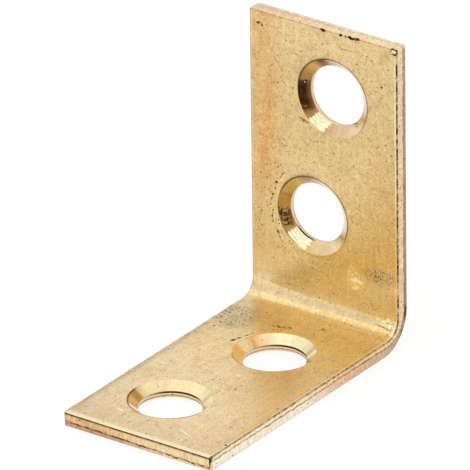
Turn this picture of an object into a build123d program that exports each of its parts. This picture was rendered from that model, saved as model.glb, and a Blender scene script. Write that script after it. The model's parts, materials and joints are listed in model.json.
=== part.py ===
from build123d import *
import math
import os

# A small brass angle bracket: one piece of flat strip, sheared to length, punched and countersunk
# while flat, then folded once through a right angle. Millimetres.
# +Z is up. The foot lies on z = 0 and runs out along -Y. The upright's wall side lies on y = 0.
# The origin is where those two outer faces would meet, in the middle of the strip's width.

# Strip
strip_width = 13.6
strip_thickness = 1.2
upright_height = 25.2
foot_reach = 25.8

# Fold: the outer side stretches, so the strip is thinner in the middle of the fold than in the legs
fold_inner_radius = 1.3
fold_thinning = 0.25

# Sheared outline: the die rolls the punch side's edges over a little, and the tool's corners are barely rounded
edge_roll_radius = 0.08
end_corner_radius = 0.12

# Screw holes: a straight bore with a conical seat for a flat-headed screw on the inner side
bore_diameter = 4.9
seat_diameter = 6.45
seat_angle = 100.0

# Hole centres. The holes by the fold are set out from the outer corner, and the others from the sheared
# ends. They step to either side of the middle, so that neighbouring screws miss the same line of grain.
upright_low_hole_height = 9.15
upright_low_hole_offset = -1.1
upright_top_hole_margin = 5.65
upright_top_hole_offset = 0.85
foot_near_hole_reach = 8.85
foot_near_hole_offset = 0.65
foot_far_hole_margin = 6.15
foot_far_hole_offset = -1.35

# How far a cutter stands proud of the face it cuts
cutter_overrun = 0.5

fold_outer_radius = fold_inner_radius + strip_thickness + fold_thinning / (math.sqrt(2) - 1)
seat_depth = (seat_diameter - bore_diameter) / 2 / math.tan(math.radians(seat_angle / 2))


def folded_strip() -> Part:
    """The strip's side view given its width: an L whose two fold arcs both touch the legs' faces."""
    with BuildPart() as strip:
        with BuildSketch(Plane.YZ):
            with BuildLine():
                outside = FilletPolyline(
                    (0, upright_height), (0, 0), (-foot_reach, 0), radius=fold_outer_radius
                )
                inside = FilletPolyline(
                    (-strip_thickness, upright_height),
                    (-strip_thickness, strip_thickness),
                    (-foot_reach, strip_thickness),
                    radius=fold_inner_radius,
                )
                Line(outside @ 0, inside @ 0)
                Line(outside @ 1, inside @ 1)
            make_face()
        extrude(amount=strip_width / 2, both=True)
    return strip.part


def round_sheared_outline(strip: Part) -> Part:
    """Rounds the four free corners in plan, then rolls over the inner side's whole outline."""
    corners = strip.edges().filter_by(Axis.Y).group_by(Axis.Z)[-1]
    corners += strip.edges().filter_by(Axis.Z).group_by(Axis.Y)[0]
    strip = strip.fillet(end_corner_radius, corners)

    upright_inside = strip.faces().filter_by(Axis.Y).sort_by(Axis.Y)[1]
    foot_inside = strip.faces().filter_by(Axis.Z).sort_by(Axis.Z)[1]
    fold_inside = strip.faces().filter_by(GeomType.CYLINDER).sort_by(SortBy.AREA)[-2]
    shared = fold_inside.edges().filter_by(Axis.X)
    outline = ShapeList(
        edge
        for face in (upright_inside, foot_inside, fold_inside)
        for edge in face.edges()
        if not any(edge.center() == fold_line.center() for fold_line in shared)
    )
    return strip.fillet(edge_roll_radius, outline)


def screw_hole_cutter(inner_face: Plane) -> Part:
    """Bore and conical seat in one revolved cutter. The plane lies on the inner face and looks out of it."""
    bore_radius = bore_diameter / 2
    seat_radius = seat_diameter / 2
    proud_radius = seat_radius + cutter_overrun * math.tan(math.radians(seat_angle / 2))
    axis = Axis(inner_face.origin, inner_face.z_dir)
    with BuildPart() as cutter:
        with BuildSketch(Plane(inner_face.origin, x_dir=inner_face.x_dir, z_dir=-inner_face.y_dir)):
            with BuildLine():
                Polyline(
                    (0, cutter_overrun),
                    (proud_radius, cutter_overrun),
                    (bore_radius, -seat_depth),
                    (bore_radius, -strip_thickness - cutter_overrun),
                    (0, -strip_thickness - cutter_overrun),
                    close=True,
                )
            make_face()
        revolve(axis=axis)
    return cutter.part


def upright_hole(offset: float, height: float) -> Part:
    """Cutter of a hole in the upright, seated on the side away from the wall."""
    return screw_hole_cutter(Plane((offset, -strip_thickness, height), x_dir=(1, 0, 0), z_dir=(0, -1, 0)))


def foot_hole(offset: float, reach: float) -> Part:
    """Cutter of a hole in the foot, seated on its upper side."""
    return screw_hole_cutter(Plane((offset, -reach, strip_thickness), x_dir=(1, 0, 0), z_dir=(0, 0, 1)))


def angle_bracket() -> Part:
    """The whole bracket: folded strip, softened outline, four countersunk holes."""
    bracket = round_sheared_outline(folded_strip())
    cutters = [
        upright_hole(upright_top_hole_offset, upright_height - upright_top_hole_margin),
        upright_hole(upright_low_hole_offset, upright_low_hole_height),
        foot_hole(foot_near_hole_offset, foot_near_hole_reach),
        foot_hole(foot_far_hole_offset, foot_reach - foot_far_hole_margin),
    ]
    for cutter in cutters:
        bracket = bracket - cutter
    return bracket


os.makedirs("parts", exist_ok=True)
export_step(angle_bracket(), "parts/angle_bracket.step")
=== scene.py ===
"""Studio scene of a small brass angle bracket: one strip folded once, with four countersunk screw holes.

The bracket is drawn as the flat strip that it was made from, in millimetres, with three coordinates:
x across the strip, s along it (0 in the middle of the fold, positive up the upright and negative out
along the foot) and w up from the outer face. One fold map then carries every point into the frame.
"""

import json
import logging
import math
from dataclasses import dataclass
from enum import Enum
from typing import Any

import bpy
import numpy as np
from mathutils import Matrix, Vector


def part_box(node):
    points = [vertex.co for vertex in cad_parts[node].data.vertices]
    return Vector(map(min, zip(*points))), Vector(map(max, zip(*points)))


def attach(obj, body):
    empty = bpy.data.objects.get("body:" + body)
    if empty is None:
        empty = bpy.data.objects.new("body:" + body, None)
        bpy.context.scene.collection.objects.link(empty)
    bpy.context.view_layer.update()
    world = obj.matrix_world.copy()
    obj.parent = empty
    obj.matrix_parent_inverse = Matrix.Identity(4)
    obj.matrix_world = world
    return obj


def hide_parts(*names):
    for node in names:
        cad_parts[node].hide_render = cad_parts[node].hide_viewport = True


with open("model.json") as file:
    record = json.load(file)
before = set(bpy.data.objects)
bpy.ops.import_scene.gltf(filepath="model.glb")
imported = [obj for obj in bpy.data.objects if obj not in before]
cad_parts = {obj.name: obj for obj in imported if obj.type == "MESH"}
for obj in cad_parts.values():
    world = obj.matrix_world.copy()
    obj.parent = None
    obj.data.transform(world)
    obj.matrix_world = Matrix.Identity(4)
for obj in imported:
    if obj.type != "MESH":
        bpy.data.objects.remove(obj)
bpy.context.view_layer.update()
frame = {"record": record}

MM = 0.001
NODE = "angle_bracket"
BODY = "root"
log = logging.getLogger("bracket")

Array = np.ndarray


def linear(code: str) -> tuple[float, float, float, float]:
    """Turns an sRGB colour, written as "#RRGGBB", into linear light with an alpha of 1."""
    parts = [int(code[i : i + 2], 16) / 255 for i in (1, 3, 5)]
    return *(c / 12.92 if c <= 0.04045 else ((c + 0.055) / 1.055) ** 2.4 for c in parts), 1.0


def bell(distance: Array, width: float) -> Array:
    """A soft bump of height 1: e to the power of minus the square of distance over width."""
    return np.exp(-((distance / width) ** 2))


def ease(value: Array, start: float, end: float) -> Array:
    """Rises smoothly from 0 at start to 1 at end, as 3t squared minus 2t cubed."""
    t = np.clip((value - start) / (end - start), 0.0, 1.0)
    return t * t * (3 - 2 * t)


class Ripple:
    """Seeded smooth noise: plane waves of random heading and phase, added up to about -1 to 1."""

    def __init__(self, seed: int, wavelength: float, waves: int = 14) -> None:
        """Draws the waves.

        Args:
            seed: picks the pattern.
            wavelength: the middle wavelength in millimetres; the waves spread around it.
            waves: how many waves are added.
        """
        rng = np.random.default_rng(seed)
        heading = rng.uniform(0, 2 * np.pi, waves)
        number = 2 * np.pi / (wavelength * rng.uniform(0.6, 1.7, waves))
        self.kx, self.ky = number * np.cos(heading), number * np.sin(heading)
        self.phase = rng.uniform(0, 2 * np.pi, waves)

    def __call__(self, a: Array, b: Array | float = 0.0) -> Array:
        """Adds up the cosines of all waves, each at its own heading and phase.

        Args:
            a: the points' first coordinate, in millimetres.
            b: their second coordinate.

        Returns:
            The noise at each point.
        """
        a, b = np.broadcast_arrays(a, b)
        waves = np.cos(a[..., None] * self.kx + b[..., None] * self.ky + self.phase)
        return waves.sum(-1) / math.sqrt(len(self.phase) * 0.5) * 0.5


class Zone(Enum):
    """The surfaces of the strip that were made in different ways, as columns of the zone attribute."""

    WALL = 0
    SEAT = 1
    LAND = 2


class SeatMask(Enum):
    """The seat's masks, as columns of a vertex attribute: a painted dark reflection, a painted glint, and
    where the cutter left the cone matt.
    """

    DARK_REFLECTION = 0
    GLINT = 1
    MATT = 2


@dataclass(frozen=True)
class Sector:
    """A stretch of the turn round a hole, in degrees from +x towards +s.

    It fades in over `fade_in` degrees to either side of its start, and out over `fade_out` at its end.
    """

    start: float
    end: float
    level: float = 1.0
    fade_in: float = 14.0
    fade_out: float = 14.0

    def of(self, turn: Array) -> Array:
        """Its level within the stretch, falling smoothly to 0 outside it.

        Args:
            turn: turns round the hole, in degrees.

        Returns:
            The level at each turn.
        """
        middle, half = (self.start + self.end) / 2, (self.end - self.start) / 2
        away = (turn - middle + 180) % 360 - 180
        rise = ease(away, -half - self.fade_in, -half + self.fade_in)
        return self.level * rise * (1 - ease(away, half - self.fade_out, half + self.fade_out))


NONE = Sector(0, 0, 0.0)


@dataclass(frozen=True)
class SeatLook:
    """How a seat looks round its turn.

    The first field holds the cone's colours, each at its turn in degrees, which paint the light and
    shade that each part of the cone mirrors. The browned sector paints the dark that the cone mirrors
    there, and the glinting one paints a highlight. `matt` says where the cutter tore it matt, the
    burr's sector where a highlight is painted on the burr just outside the rim, `rim` where the rim is
    a dark line, which paints the burr's shadow, and how dark, `halo` where dirt has spread out from the
    rim over the face, and `root` where the cone is dark as it meets the bore.
    """

    tints_with_painted_light: tuple[tuple[float, str], ...]
    matt: Sector
    burr_highlight: Sector
    rim: tuple[Sector, ...]
    root: Sector
    brown: Sector = NONE
    painted_glint: Sector = NONE
    halo: Sector = NONE

    def tint(self, turn: Array) -> Array:
        """The cone's colour with its painted light, mixed evenly between neighbouring turns in the table.

        Args:
            turn: turns round the hole, in degrees.

        Returns:
            Red, green and blue in linear light for each turn.
        """
        turns = [at for at, _ in self.tints_with_painted_light]
        colours = np.array([linear(code)[:3] for _, code in self.tints_with_painted_light])
        return np.stack([np.interp(turn, turns, colours[:, i], period=360) for i in range(3)], -1)


# Each seat's colours round its turn, its browned and glinting sectors, its burr sector and its dark rim
# paint the light and shade that the cone and its rim show there.
UPRIGHT_TOP_LOOK = SeatLook(
    tints_with_painted_light=(
        (60, "#F0DCC0"), (95, "#C4AA8C"), (114, "#B8986C"), (120, "#D8B888"), (130, "#F6D8A6"),
        (146, "#CFA868"), (158, "#A88050"), (198, "#94683E"), (214, "#92703E"), (222, "#B08C58"),
        (262, "#CBAA80"), (285, "#DCC093"), (308, "#F2DCB4"), (324, "#FCEACA"), (338, "#DCBC94"),
    ),
    brown=Sector(166, 216, 0.92, fade_in=8, fade_out=16),
    painted_glint=Sector(226, 255, fade_in=4, fade_out=6),
    matt=Sector(118, 150, 0.4),
    burr_highlight=Sector(172, 247, 1.0),
    rim=(Sector(-30, 172, 0.75, 20, 14),),
    halo=Sector(85, 130, 0.25, 20, 20),
    root=Sector(168, 215, 0.5),
)
UPRIGHT_LOW_LOOK = SeatLook(
    tints_with_painted_light=(
        (60, "#F0DCC0"), (92, "#C0A276"), (108, "#DCC090"), (120, "#FFE4B0"), (131, "#F8D896"),
        (142, "#EBCC88"), (152, "#D8B97C"), (160, "#BA9250"), (172, "#C8A264"), (182, "#B48C50"),
        (215, "#B48E52"), (223, "#BC9A60"), (258, "#D4B680"), (300, "#E9D0A6"), (320, "#FAE6C4"),
        (335, "#E8D0AC"),
    ),
    brown=Sector(182, 216, 0.68, fade_in=16, fade_out=10),
    painted_glint=Sector(221, 258, fade_in=7, fade_out=5),
    matt=Sector(106, 150, 0.5),
    burr_highlight=Sector(172, 255, 1.0),
    rim=(Sector(-30, 158, 0.75, 20, 12), Sector(168, 240, 0.4, 10, 10)),
    halo=Sector(82, 140, 0.4, 20, 24),
    root=Sector(222, 262, 1.0, 8, 6),
)
FOOT_NEAR_LOOK = SeatLook(
    tints_with_painted_light=(
        (20, "#EEC07A"), (32, "#E8C88E"), (39, "#FFF0C8"), (48, "#C8AC82"), (60, "#F2E0B4"),
        (92, "#E2D8AA"), (100, "#F2E8B8"), (130, "#FFE6BC"), (142, "#FFDEA6"), (153, "#F8CC90"),
        (160, "#F0C478"), (166, "#FFECBB"), (183, "#FFF4D0"), (190, "#FFE09E"), (199, "#FFD07C"),
        (207, "#FFDE98"), (222, "#FFDA90"), (230, "#FFD280"), (240, "#FFDC90"),
    ),
    matt=Sector(160, 262, 1.1, 5, 12),
    burr_highlight=Sector(60, 190, 0.5),
    rim=(Sector(225, 345, 0.45, 20, 10),),
    root=Sector(44, 146, 1.0, 25, 40),
)
FOOT_FAR_LOOK = SeatLook(
    tints_with_painted_light=(
        (25, "#FCEED0"), (40, "#F4E6C4"), (47, "#D8C094"), (58, "#FAE6B6"), (100, "#F4D8A4"),
        (165, "#FCE6B6"), (178, "#F6D8A0"), (184, "#CCA462"), (194, "#D8AC66"), (203, "#F8C87C"),
        (213, "#F0C880"), (221, "#DCC08C"), (226, "#FFFAE0"), (236, "#FFF8DC"), (242, "#DCC6A4"),
    ),
    matt=Sector(181, 262, 1.0, 4, 12),
    burr_highlight=Sector(60, 172, 0.6),
    rim=(Sector(178, 345, 0.7, 8, 10),),
    root=Sector(62, 158, 1.0, 22, 30),
)


@dataclass(frozen=True)
class ScrewHole:
    """One countersunk hole in the flat strip, in millimetres, with how its seat looks, painted light
    included, and the seed of its ripples.
    """

    x: float
    s: float
    bore_radius: float
    seat_radius: float
    seat_depth: float
    seat_look: SeatLook
    seed: int


@dataclass(frozen=True)
class Mark:
    """One mark on the inner face, in millimetres: most are scars, hollows with dirt in them, and some are
    painted glints.

    It is as long as `length` in the direction `turn` (degrees from across the strip) and fades out over
    `width` on every side. Dirt runs from 0 to 1, and below 0 it is pale: a fresh scratch, and on the
    crushed places by the fold a painted glint. `w` and `high` place it through the thickness.
    """

    x: float
    s: float
    width: float
    depth: float
    dirt: float
    length: float = 0.0
    turn: float = 0.0
    w: float = 1.2
    high: float = 0.25

    def own(self, flat: Array) -> Array:
        """Moves flat points into the mark's own directions, by a shift and a turn in the flat.

        Args:
            flat: points as x, s and w in millimetres.

        Returns:
            How far each point is along the mark, across it and above it.
        """
        c, n = math.cos(math.radians(self.turn)), math.sin(math.radians(self.turn))
        dx, ds, dw = (flat - (self.x, self.s, self.w)).T
        return np.stack([dx * c + ds * n, ds * c - dx * n, dw], -1)

    def away(self, flat: Array) -> Array:
        """How far flat points are from the mark's centre line, seen from above."""
        along, across, _ = self.own(flat).T
        return np.hypot(np.maximum(np.abs(along) - self.length / 2, 0), across)


@dataclass
class Patch:
    """A grid of points in flat coordinates, with what each point belongs to.

    `flat` is (rows, columns, 3), and so are `zone`, the seat's masks, `tint` (a seat's colour in linear
    light, which paints the light and shade that the cone mirrors) and `rim` (the place on a seat's rim,
    and how far down the cone from 0 to 1). `face` is 1 on the inner face and fades down its edges;
    `line` is how dark an edge is, and in places it paints shade and dark reflections; the bright field
    says how bright a point is worn, and where a highlight is painted; `fracture` is the height above the
    walls' fracture line. `turned` says that the grid's own normals point inwards.
    """

    flat: Array
    face: Array
    zone: Array
    seat_look: Array
    tint: Array
    rim: Array
    line: Array
    bright_wear_and_highlight: Array
    fracture: Array
    turned: bool = False

    @staticmethod
    def blank(flat: Array, face: Array | float, turned: bool = False) -> "Patch":
        """A patch of clean plain face.

        Args:
            flat: its points.
            face: its `face` values, or one value for all.
            turned: whether the grid's own normals point inwards.

        Returns:
            The patch, with all else at 0.
        """
        shape = flat.shape[:2]
        face = np.broadcast_to(face, shape).astype(float)
        triples = [np.zeros(flat.shape) for _ in range(4)]
        singles = [np.zeros(shape) for _ in range(3)]
        return Patch(flat, face, *triples, *singles, turned=turned)


@dataclass
class FoldedStrip:
    """The whole bracket as one closed surface of about 177,000 triangles, in millimetres.

    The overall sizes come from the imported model's box and the hole sizes from its mounts.
    """

    width: float
    height: float
    reach: float
    holes: tuple[ScrewHole, ...]
    thickness: float = 1.2
    fold_inner_radius: float = 1.3
    fold_thinning: float = 0.25
    corner_radius: float = 0.12
    roll_radius: float = 0.08
    mesh_step: float = 0.155
    fold_zone: float = 4.2
    corner_steps: int = 4

    def __post_init__(self) -> None:
        """Works out the fold's outer radius and the rows and columns that all patches share."""
        self.fold_outer_radius = (
            self.fold_inner_radius + self.thickness + self.fold_thinning / (math.sqrt(2) - 1)
        )
        inset, zone = self.corner_radius, self.fold_zone
        half = self.width / 2 - inset
        foot = [h.s for h in self.holes if h.s < 0]
        upright = [h.s for h in self.holes if h.s > 0]
        cuts = (inset - self.reach, sum(foot) / 2, -zone, zone, sum(upright) / 2, self.height - inset)
        self.columns = np.linspace(-half, half, self.steps(2 * half) + 1)
        self.rows = [np.linspace(a, b, self.steps(b - a) + 1) for a, b in zip(cuts[:-1], cuts[1:])]

    def steps(self, length: float) -> int:
        """How many mesh steps a length takes."""
        return max(1, round(length / self.mesh_step))

    def fold(self, flat: Array) -> Array:
        """Carries flat points into the frame.

        On the legs a point keeps its place. Round the fold, the outer and the inner line are each an
        arc that touches both legs, walked at an even pace, and a point lies on the straight line
        between them, as far along it as it is through the thickness.

        Args:
            flat: points as x, s and w in millimetres.

        Returns:
            The same points as X, Y and Z in metres.
        """
        x, s, w = flat[..., 0], flat[..., 1], flat[..., 2]
        big, small, thick = self.fold_outer_radius, self.fold_inner_radius, self.thickness
        pace = np.clip((s + big) / (2 * big), 0, 1)
        past_foot, past_upright = np.minimum(s + big, 0), np.maximum(s - big, 0)
        angle = pace * np.pi / 2
        outer = np.stack([-big + big * np.sin(angle) + past_foot, big - big * np.cos(angle) + past_upright])
        lead, arc, hub = big - small - thick, small * np.pi / 2, small + thick
        walked = pace * (2 * lead + arc)
        turn = np.clip((walked - lead) / small, 0, np.pi / 2)
        before, after = np.minimum(walked - lead, 0), np.maximum(walked - lead - arc, 0)
        inner_y = -hub + small * np.sin(turn) + before + past_foot
        inner_z = hub - small * np.cos(turn) + after + past_upright
        inner = np.stack([inner_y, inner_z])
        y, z = outer + (inner - outer) * (w / thick)
        return np.stack([x, y, z], -1) * MM

    def hole_patch(self, hole: ScrewHole, rows: Array) -> Patch:
        """The cell of strip round one hole, from its inner border down through the hole to its outer one.

        Rays run from the hole's axis to evenly spaced points of the cell's border. Along each ray the
        surface comes in over the inner face, turns over the rim, runs down the cone and the bore, flares
        where the punch broke through, and goes out again over the outer face.

        Args:
            hole: the hole in the cell.
            rows: the cell's places along the strip.

        Returns:
            The patch, as a grid of profile points by rays.
        """
        cols, t = self.columns, self.thickness
        low, high = np.full(len(cols) - 1, rows[0]), np.full(len(cols) - 1, rows[-1])
        left, right = np.full(len(rows) - 1, cols[0]), np.full(len(rows) - 1, cols[-1])
        border_x = np.concatenate([cols[:-1], right, cols[:0:-1], left, cols[:1]])
        border_s = np.concatenate([low, rows[:-1], high, rows[:0:-1], rows[:1]])
        angle = np.arctan2(border_s - hole.s, border_x - hole.x)
        ray = np.stack([np.cos(angle), np.sin(angle)], -1)
        border = np.stack([border_x, border_s], -1)
        axis = np.array([hole.x, hole.s])

        rim, bore = hole.seat_radius, hole.bore_radius
        seat_w = t - hole.seat_depth
        slope = np.array([rim - bore, hole.seat_depth]) / math.hypot(rim - bore, hole.seat_depth)
        rim_turn, bore_turn, flare, flare_w = 0.035, 0.03, 0.20, 0.26
        top = np.array([rim, t]) - slope * rim_turn
        low_end = np.array([bore, seat_w]) + slope * bore_turn
        cone = top + np.array([0, 0.1, 0.25, 0.4, 0.55, 0.7, 0.85, 0.94, 1.0])[:, None] * (low_end - top)
        bore_levels = (seat_w - bore_turn, 0.47, 0.43, 0.36, 0.30, flare_w - 0.03)
        profile = np.vstack(
            [
                [(rim + rim_turn, t), (rim + rim_turn * 0.25, t - rim_turn * 0.12)],
                cone,
                [(bore + bore_turn * 0.1, seat_w - bore_turn * 0.1)],
                [(bore, w) for w in bore_levels],
                [(bore + flare * 0.4, flare_w * 0.5), (bore + flare, 0.01), (bore + flare + 0.02, 0.0)],
            ]
        )
        through = axis + profile[:, 0, None, None] * ray
        first, last = through[0], through[-1]
        inwards = 1 - (1 - np.linspace(0, 1, 23)[:-1]) ** 1.25
        outwards = np.linspace(0, 1, 11)[1:] ** 1.2
        front = border + inwards[:, None, None] * (first - border)
        back = last + outwards[:, None, None] * (border - last)
        plan = np.concatenate([front, through, back])
        level = np.concatenate([np.full(len(front), t), profile[:, 1], np.zeros(len(back))])
        flat = np.concatenate([plan, np.broadcast_to(level[:, None, None], (*plan.shape[:2], 1))], -1)

        down = np.clip((t - level) / hole.seat_depth, 0, 1)
        on_cone = (level < t - rim_turn * 0.5) & (level > seat_w + bore_turn * 0.2)
        on_land = (level <= seat_w + bore_turn * 0.2) & (level > 0.001)
        patch = Patch.blank(flat, (1 - down)[:, None])
        patch.zone[..., Zone.SEAT.value] = on_cone[:, None]
        patch.zone[..., Zone.LAND.value] = on_land[:, None]
        around = rim * np.cos(angle), rim * np.sin(angle)
        patch.rim[..., 0], patch.rim[..., 1] = around
        patch.rim[..., 2] = down[:, None]

        turn, seat_look = np.degrees(angle) % 360, hole.seat_look
        # The browned sector paints a dark reflection and the glinting one a highlight; the matt one only
        # roughens the cone.
        for kind, sector in ((SeatMask.DARK_REFLECTION, seat_look.brown), (SeatMask.GLINT, seat_look.painted_glint), (SeatMask.MATT, seat_look.matt)):
            patch.seat_look[..., kind.value] = on_cone[:, None] * sector.of(turn)
        # Each turn's colour paints the light and shade that the cone mirrors there.
        patch.tint[...] = seat_look.tint(turn)

        # Down the hole: a dark rim line, which paints the burr's shadow, a dark root, then a bright and a
        # dark band on the bore, and a pale flare, painted for the bright floor that it mirrors.
        start = len(front)
        painted_rim_shadow = sum(part.of(turn) for part in seat_look.rim)
        patch.line[start : start + 3] = painted_rim_shadow
        root = start + 1 + len(cone)
        patch.line[root : root + 4] = seat_look.root.of(turn)
        patch.bright_wear_and_highlight[root + 4 : root + 6] = 0.7
        patch.line[root + 6 : root + 8] = 0.45
        patch.bright_wear_and_highlight[root + 8 : root + 10] = 0.9
        away = np.linalg.norm(plan - axis, axis=-1) - rim
        on_face = (level == t)[:, None]
        # On the face round the rim: a painted highlight on the burr, the painted burr shadow reaching a
        # little way out, and dirt spread out from the rim.
        patch.bright_wear_and_highlight += bell(away - 0.07, 0.045) * on_face * seat_look.burr_highlight.of(turn)
        patch.line += bell(away, 0.07) * (away > 0.04) * on_face * painted_rim_shadow * 0.35
        patch.line += bell(away, 0.22) * (away > 0.04) * on_face * seat_look.halo.of(turn)
        self.cut_seat(hole, patch, around, down[:, None] * on_cone[:, None])
        return patch

    def cut_seat(self, hole: ScrewHole, patch: Patch, around: tuple[Array, Array], down: Array) -> None:
        """Moves the cone along its normal by what the countersink left: broad flats and fine chatter.

        Each is a ripple along the rim, so it runs straight down the cone.

        Args:
            hole: the hole.
            patch: its patch, which is changed.
            around: each ray's place on the rim.
            down: how far down the cone each point is, from 0 to 1.
        """
        flats = Ripple(hole.seed, 3.4)(*around) * 0.014
        ridges = Ripple(hole.seed + 1, 0.42)(*around) * 0.0022
        lift = (flats + ridges) * np.sqrt(np.sin(np.pi * down))
        steep = math.atan2(hole.seat_depth, hole.seat_radius - hole.bore_radius)
        for i in (0, 1):
            patch.flat[..., i] -= lift * math.sin(steep) * around[i] / hole.seat_radius
        patch.flat[..., 2] += lift * math.cos(steep)

    def fold_patches(self) -> list[Patch]:
        """The two sides of the stretch that is folded: even grids across and along the strip.

        Returns:
            The inner and the outer patch.
        """
        across, along = np.meshgrid(self.columns, self.rows[2])
        inner = np.stack([across, along, np.full(across.shape, self.thickness)], -1)
        outer = np.stack([across, along, np.zeros(across.shape)], -1)
        return [Patch.blank(inner, 1.0), Patch.blank(outer, 0.0, turned=True)]

    def wall_patch(self) -> Patch:
        """The sheared wall: one profile carried round the strip's whole outline.

        The profile starts on the inner face, rolls over a quarter circle, dips in a drawn line, drops
        down the burnished band, breaks at the ragged fracture line, and runs down the torn band to
        the outer face. The fracture line and the torn band wander with the distance round the outline.

        Returns:
            The patch, as a grid of profile points by outline points.
        """
        side = np.concatenate([r[:-1] for r in self.rows] + [self.rows[-1][-1:]])
        cols, t = self.columns, self.thickness
        right = np.stack([np.full(len(side), cols[-1]), side], -1)
        top = np.stack([cols[::-1], np.full(len(cols), side[-1])], -1)
        left = np.stack([np.full(len(side), cols[0]), side[::-1]], -1)
        foot = np.stack([cols, np.full(len(cols), side[0])], -1)
        base, out, bend = [], [], np.linspace(0, np.pi / 2, self.corner_steps + 1)[1:-1]
        for i, edge in enumerate((right, top, left, foot)):
            heading = i * np.pi / 2
            base += [edge, np.repeat(edge[-1:], len(bend), 0)]
            out += [np.full(len(edge), heading), heading + bend]
        base, heading = np.vstack([*base, right[:1]]), np.concatenate([*out, [2 * np.pi]])
        out = np.stack([np.cos(heading), np.sin(heading)], -1)

        edge = base + out * self.corner_radius
        travel = np.concatenate([[0], np.cumsum(np.hypot(*np.diff(edge, axis=0).T))])
        lap = travel / travel[-1] * 2 * np.pi
        circle = tuple(travel[-1] / (2 * np.pi) * part for part in (np.cos(lap), np.sin(lap)))
        jag = 0.045 * Ripple(31, 1.1)(*circle) + 0.03 * Ripple(32, 0.35)(*circle)
        on_side, along = np.abs(out[:, 0]) > 0.5, edge[:, 1]
        by_side = np.where(on_side, 0.36 + 0.40 * ease(-along, -3.0, 3.0), 0.34 - 0.012 * edge[:, 0])
        ragged = by_side + jag + 0.03 * Ripple(33, 9.0)(*circle)
        torn = 0.010 * (1 + Ripple(34, 0.5)(*circle))

        r, wall = self.roll_radius, self.corner_radius
        zero, drawn = np.zeros(len(travel)), t - r
        turns = np.linspace(0, np.pi / 2, 5)
        points = [(0.0, t, 0.0)]
        points += [(wall - r + r * math.sin(a), drawn + r * math.cos(a), a / np.pi) for a in turns]
        points += [(wall - 0.012, drawn - 0.03, 1.0), (wall, drawn - 0.07, 1.0)]
        profile = [(zero + o, zero + w, k) for o, w, k in points]
        for share in (0.25, 0.5, 0.75, 1.0):
            level = (drawn - 0.07) * (1 - share) + (ragged + 0.03) * share
            profile.append((zero + wall - 0.004 * share, level, 1.0))
        profile.append((zero + wall - 0.035, ragged, 1.0))
        for share in (0.15, 0.5, 0.8):
            rough = torn * (1 + 0.4 * Ripple(35 + int(share * 10), 0.4)(*circle))
            profile.append((wall - 0.012 - rough, ragged * (1 - share), 1.0))
        profile += [(zero + wall - 0.02, zero + 0.02, 1.0), (zero + wall - 0.05, zero, 0.5)]
        profile.append((zero, zero, 0.0))

        plan = np.stack([base + out * o[:, None] for o, _, _ in profile])
        level = np.stack([w for _, w, _ in profile])
        patch = Patch.blank(np.concatenate([plan, level[..., None]], -1), ease(level, drawn - 0.1, t), True)
        kind = np.array([k for _, _, k in profile])[:, None]
        patch.zone[..., Zone.WALL.value] = kind
        patch.fracture[...] = level - ragged

        # The drawn line, painted dark for the dark that the roll-over mirrors: black beads up the upright's
        # sides, broken along the foot's, even on the foot's end, and on the top end just inside the edge,
        # with a painted highlight on the lip above it.
        beads = np.clip(0.72 + 0.60 * Ripple(51, 0.5)(*circle), 0.15, 1)
        middle = ease(-along, 6.0, 8.0) * ease(along, -19.0, -17.0)
        dashes = ease(Ripple(52, 0.5)(*circle), -0.1, 0.2) * (0.6 + 0.4 * middle)
        up = ease(along, -3.0, 0.5)
        side = (up * beads + (1 - up) * (0.30 + 0.45 * dashes)) * on_side
        patch.line[1:7] = side * np.where(out[:, 0] < 0, 0.3, 1.0)
        patch.line[5:8] += (0.75 + 0.25 * beads) * (out[:, 1] < -0.5)
        patch.line[0:2] += 0.85 * beads * (out[:, 1] > 0.5)
        patch.bright_wear_and_highlight[4:9] += 0.45 * (out[:, 1] > 0.5)
        return patch

    def relief(self, x: Array, s: Array) -> Array:
        """How far the inner face stands above its true plane.

        It adds up broad waves from rolling and folding, a slow fall towards the sheared outline, a
        fine burr round each seat, a crease that the folding tool left, and three crushed places.

        Args:
            x: places across the strip, in millimetres.
            s: places along it.

        Returns:
            The height at each place, in millimetres.
        """
        waves = 0.011 * Ripple(11, 7.5)(x, s) + 0.0035 * Ripple(12, 2.4)(x, s)
        waves += 0.0011 * Ripple(13, 0.8)(x, s)
        margin = np.minimum(self.width / 2 - np.abs(x), np.minimum(self.height - s, self.reach + s))
        height = waves - 0.026 * bell(np.maximum(margin, 0), 0.32)
        height -= 0.020 * bell(np.maximum(self.reach + s, 0), 0.30)
        height += 0.030 * bell(s - 0.06, 1.1) - 0.035 * np.abs(s - 0.06) * bell(s - 0.06, 0.9)
        crushed = bell(np.hypot(x - 2.84, s - 4.95), 0.95) + bell(np.hypot(x - 5.9, s - 0.8), 0.85)
        crushed += 0.5 * bell(np.hypot((x - 5.0) / 1.5, (s - 5.75) / 0.6), 1.0)
        height += 0.050 * crushed * Ripple(14, 0.50)(x, s)
        for hole in self.holes:
            away = np.hypot(x - hole.x, s - hole.s)
            height += 0.012 * bell(away - hole.seat_radius - 0.05, 0.10)
            height -= 0.010 * bell(away - hole.seat_radius - 0.35, 0.35)
        return height

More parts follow.
